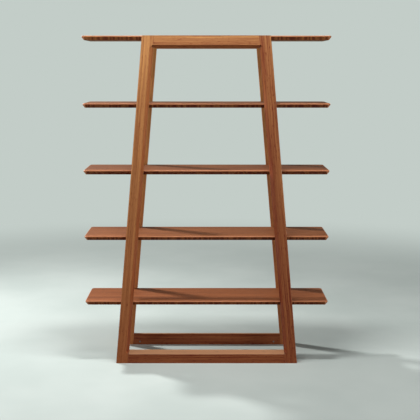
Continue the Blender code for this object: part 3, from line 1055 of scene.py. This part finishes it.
def shelf_mesh(name):
    """A shelf with its top at the origin."""
    bm = bmesh.new()
    add_block(bm, (0.0, 0.0, -SHELF_LIP / 2.0), (SHELF_LENGTH, SHELF_DEPTH, SHELF_LIP))
    posts = [e for e in bm.edges if abs(e.verts[0].co.z - e.verts[1].co.z) > SHELF_LIP / 2.0]
    bmesh.ops.bevel(bm, geom=posts, offset=SHELF_CORNER, segments=12, profile=0.5, affect="EDGES")
    bm.normal_update()
    underside = [face for face in bm.faces if face.normal.z < -0.9]
    drop = SHELF_THICKNESS - SHELF_LIP
    bmesh.ops.inset_region(bm, faces=underside, thickness=UNDERCUT_RUN, depth=drop)
    bm.normal_update()
    rim = [face for face in bm.faces if face.normal.z > 0.9][0].edges[:]
    bmesh.ops.bevel(bm, geom=rim, offset=SHELF_ARRIS, segments=6, profile=0.5, affect="EDGES")
    return mesh_from(bm, name)


def landings(name, top_z):
    """Four blocks that carry the square edge of a shelf out to the legs."""
    low = LANDING_SKIN - SHELF_THICKNESS
    high = LANDING_LAP - SHELF_LIP
    outer = SHELF_DEPTH / 2.0 - LANDING_SKIN
    inner = outer - UNDERCUT_RUN - LANDING_ROOT
    centre = outer_x(top_z - SHELF_THICKNESS / 2.0) - LEG_RUN / 2.0
    size = (LANDING_WIDTH, outer - inner, high - low)
    bm = bmesh.new()
    for frame_side in FRAMES.values():
        for side in SIDES.values():
            spot = (side * centre, frame_side * (outer + inner) / 2.0, top_z + (low + high) / 2.0)
            add_block(bm, spot, size)
    return lay_on_bench(name, mesh_from(bm, name))


SHELF_TONES = [0.46, 0.37, 0.37, 0.55, 0.65]
boards_before = len(LEG_TONES) + len(RAIL_TONES)
for number, (top_z, tone) in enumerate(zip(SHELF_TOPS, SHELF_TONES), start=1):
    name = f"shelf_{number}_board"
    shelf = lay_on_bench(name, shelf_mesh(name), Matrix.Translation((0.0, 0.0, top_z)))
    blocks = landings(f"shelf_{number}_landings", top_z)
    helpers.append(blocks)
    cut(shelf, blocks, "UNION")
    ease(shelf, SHELF_EASE, segments=2, sharper_than=45.0)
    cut(shelf, shelf_dowel_bits)
    settle(shelf)
    polish(shelf)
    write_facts(shelf, boards_before + number, tone)
    fit(shelf, f"shelf_{number}", shelf_bamboo)
    print(shelf.name, len(shelf.data.vertices), "vertices")

# %% Clear the bench
for helper in helpers:
    bpy.data.objects.remove(helper, do_unlink=True)

# %% [markdown]
# ## Floor and backdrop
#
# A studio stands furniture on a paper sweep, whose floor turns up into the wall with no line
# between them. A curved sweep would hide the bookcase from behind, so the floor is flat and
# very wide instead, and fades with distance into the same pale colour as the sky.
# Light Path keeps that colour for what the camera and the reflections see, so the pale
# surroundings throw no extra light on the wood.

# %% Lay the floor
BACKDROP = srgb("c3cdc8")
FLOOR_SHADE = srgb("6f7975")
AMBIENT = srgb("b9c2c4")
AMBIENT_LEVEL = 0.02
CLOUDS_PER_METRE = 1.3       # soft mottling of the paper
FADE_START, FADE_END = 1.6, 5.0
FLOOR_RADIUS = 40.0


def seen_directly(finish):
    """One for rays from the camera and in reflections or glass, zero for stray light."""
    path = finish.node("ShaderNodeLightPath").outputs
    return finish.sum(
        "MAXIMUM", path["Is Camera Ray"],
        finish.sum("MAXIMUM", path["Is Glossy Ray"], path["Is Transmission Ray"]),
    )


def floor_paper():
    """Matt pale paper that fades into the backdrop."""
    finish = Finish("pale_floor_paper")
    place, _parts = finish.place()
    mottle = finish.noise(place, 3.0, CLOUDS_PER_METRE)
    tone = finish.tint(finish.ramp(mottle, 0.3, 0.7), srgb("bfc9c4"), srgb("cad3ce"))
    colour = finish.tint(seen_directly(finish), FLOOR_SHADE, tone)
    finish.feed(finish.shader.inputs["Base Color"], colour)
    finish.shader.inputs["Roughness"].default_value = 0.9
    finish.shader.inputs["Specular IOR Level"].default_value = 0.1
    lit_up = {"Color": BACKDROP, "Strength": seen_directly(finish)}
    glow = finish.node("ShaderNodeEmission", lit_up)
    length = finish.node("ShaderNodeVectorMath", {"Vector": place}, operation="LENGTH")
    far = finish.ramp(length.outputs["Value"], FADE_START, FADE_END)
    return finish.choose(far, finish.shader, glow, "Material Output")


def lay_floor():
    """A very wide disc of floor paper, which belongs to the stage."""
    bm = bmesh.new()
    bmesh.ops.create_circle(bm, cap_ends=True, segments=96, radius=FLOOR_RADIUS)
    floor = lay_on_bench("floor", mesh_from(bm, "floor"))
    floor.data.materials.append(floor_paper())


lay_floor()
print("floor radius", FLOOR_RADIUS)


# %% Hang the sky
def studio_sky():
    """The backdrop's colour where it is seen, and a faint light from it everywhere else."""
    sky = Finish("studio", bpy.data.worlds.new("studio"))
    lit = sky.tree.nodes["Background"]
    lit.inputs["Color"].default_value = AMBIENT
    lit.inputs["Strength"].default_value = AMBIENT_LEVEL
    seen = sky.node("ShaderNodeBackground", {"Color": BACKDROP})
    return sky.choose(seen_directly(sky), lit, seen, "World Output")


bpy.context.scene.world = studio_sky()
print("ambient level", AMBIENT_LEVEL)

# %% [markdown]
# ## Lamps
#
# A lamp's strength is easier to choose as a light level: at level 1 a white card that faces
# the lamp comes out white. An area lamp of P watts gives a card at distance d the level
# P / (pi squared times d squared), so the helper turns that round.
#
# Seven soft lamps share the work. Two hang above: the near one, in front of the head, makes
# the frame bright at the top and dim at the foot, and the far one fills shelves and floor.
# Two small fills stand low beside the camera and open up the front faces and undersides.
# Two larger ones stand at the sides, a little forward, so the chamfers of the opening catch
# light from the side without mirroring a lamp. The last is small and stands behind on the
# left: it draws the thin shadows that run forward across the shelves.

# %% Hang the lamps
LAMP_TARGET = Vector((0.0, 0.0, 1.0))


def softbox(name, place, width, height, level):
    """An area lamp that gives a level of light at the target."""
    towards = LAMP_TARGET - Vector(place)
    lamp = bpy.data.lights.new(name, "AREA")
    lamp.shape = "RECTANGLE"
    lamp.size = width
    lamp.size_y = height
    lamp.energy = level * pi ** 2 * towards.length_squared
    item = bpy.data.objects.new(name, lamp)
    bpy.context.scene.collection.objects.link(item)
    item.location = place
    item.rotation_euler = towards.to_track_quat("-Z", "Y").to_euler()
    print(f"{name}: {lamp.energy:.0f} W")


# name, place, width, height, level
softbox("top_softbox", (-0.1, -1.2, 2.45), 0.9, 0.5, 0.40)
softbox("overhead_softbox", (0.0, -0.5, 4.4), 0.9, 0.4, 0.68)
softbox("front_left_softbox", (-2.25, -3.7, 0.9), 0.9, 0.9, 0.065)
softbox("front_right_softbox", (2.25, -3.7, 0.9), 0.9, 0.9, 0.095)
softbox("left_softbox", (-4.6, -1.6, 1.7), 1.4, 1.4, 0.32)
softbox("right_softbox", (3.8, -1.5, 0.9), 1.0, 1.0, 0.30)
softbox("rim_lamp", (-2.3, 1.5, 2.75), 0.30, 0.30, 1.05)

# %% [markdown]
# ## Camera
#
# The bookcase is seen from straight ahead, a little below the height of the top shelf, with
# a slight downward tilt. A tilt alone would make the uprights lean, so part of the framing
# is done with the lens shift, as is usual for buildings.

# %% Set up the camera
SENSOR = 36.0                # width of the camera's sensor, in millimetres
PICTURE_WIDTH = 420.0        # the next two are in 420ths of the picture's width
FOCAL_LENGTH = 941.3
LENS_SHIFT = -38.0
TILT = 0.1127                # downwards, in radians
CAMERA_HEIGHT = 1.6669
CAMERA_DISTANCE = 5.148      # from the front face of the front frame
CAMERA_SIDE = 0.0195         # to the right of the middle

camera = bpy.data.cameras.new("portrait")
camera.sensor_width = SENSOR
camera.lens = FOCAL_LENGTH / PICTURE_WIDTH * SENSOR
camera.shift_y = LENS_SHIFT / PICTURE_WIDTH
camera_object = bpy.data.objects.new("portrait", camera)
bpy.context.scene.collection.objects.link(camera_object)
camera_object.location = (CAMERA_SIDE, -OUTER_FACE - CAMERA_DISTANCE, CAMERA_HEIGHT)
camera_object.rotation_euler = (pi / 2.0 - TILT, 0.0, 0.0)
bpy.context.scene.camera = camera_object
bpy.context.scene.view_settings.view_transform = "Standard"
print(f"lens {camera.lens:.1f} mm, shift {camera.shift_y:.3f}")
